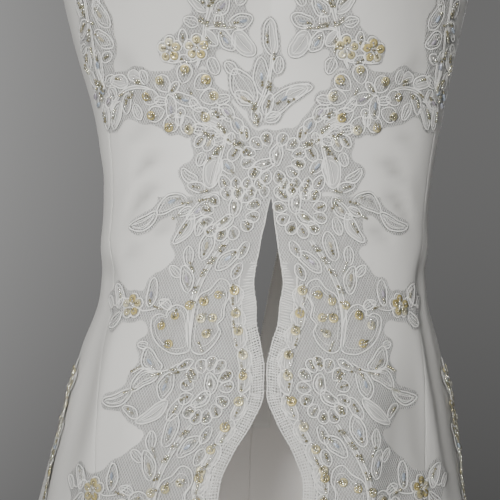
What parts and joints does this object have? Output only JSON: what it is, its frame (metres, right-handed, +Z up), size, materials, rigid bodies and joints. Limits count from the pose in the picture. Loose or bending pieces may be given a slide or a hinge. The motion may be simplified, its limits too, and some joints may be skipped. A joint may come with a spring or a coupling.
{
  "type": "wedding dress",
  "caption": "Floor-length sleeveless satin wedding dress with an open front slit, corded lace along the slit and bodice, and an undone centre-back zip.",
  "frame": {"origin": "midway between the two shoulder seams, where the wearer's shoulders hold the dress up", "axes": "+Z up, front of the dress faces -Y, +X to the right of someone who faces the front"},
  "size_m": [0.7804, 0.673, 1.472],
  "materials": {
    "satin": "matt-backed duchess satin, soft broad sheen, off-white",
    "lace": "corded lace on fine net, off-white",
    "zip_tape": "woven tape, off-white",
    "metal": "plated zip slider and pull",
    "pearl": "seed beads and rice pearls",
    "sequin": "cup sequins, pale gold"
  },
  "bodies": {
    "dress": {"front": "satin", "side_left": "satin", "side_right": "satin", "back_left": "satin", "back_right": "satin", "lace_yoke": "lace", "lace_sprig": "lace", "lace_border_left": "lace", "lace_border_right": "lace", "lace_band_left": "lace", "lace_band_right": "lace", "lace_column_left": "lace", "lace_column_right": "lace", "lace_armhole_left": "lace", "lace_armhole_right": "lace", "lace_side_left": "lace", "lace_side_right": "lace", "zip_tape_left": "zip_tape", "zip_tape_right": "zip_tape", "zip_slider": "metal"},
    "pull_tab": {"zip_pull": "metal"}
  },
  "joints": [
    {"name": "pull_hinge", "type": "hinge", "parent": "dress", "child": "pull_tab", "pos_m": [-0.00461, 0.13163, -0.54492], "axis": [1, 0, 0], "range_deg": [0, 150]}
  ]
}
